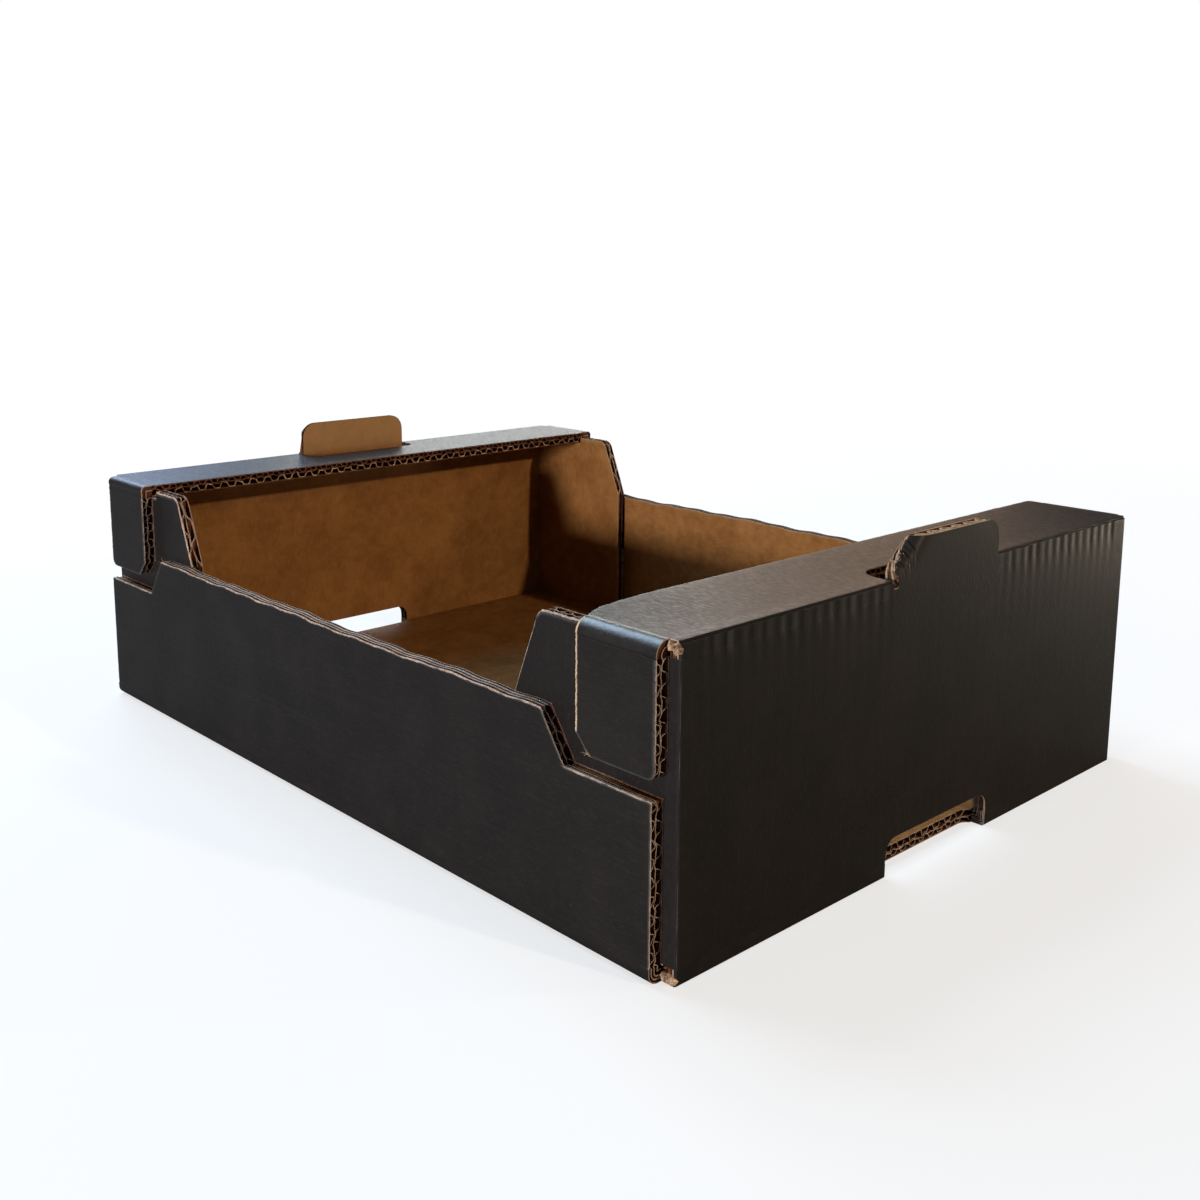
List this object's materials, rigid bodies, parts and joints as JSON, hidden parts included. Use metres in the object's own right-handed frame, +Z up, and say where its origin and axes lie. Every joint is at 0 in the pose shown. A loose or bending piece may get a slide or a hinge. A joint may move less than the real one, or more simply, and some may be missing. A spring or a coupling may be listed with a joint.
{
  "type": "corrugated storage tray",
  "caption": "Open folded tray of double-wall corrugated board with low stepped sides, tall ends with inward ledges, glued corner flaps, stacking tabs and matching notches",
  "frame": {"origin": "on the floor, under the middle of the base", "axes": "+X along the tray towards the near end, +Y across the tray, +Z up"},
  "size_m": [0.4, 0.3, 0.129],
  "materials": {
    "board": "matt black print outside, bare brown kraft inside and on the cut edges"
  },
  "bodies": {
    "root": {"folded_tray": "board"}
  },
  "joints": []
}
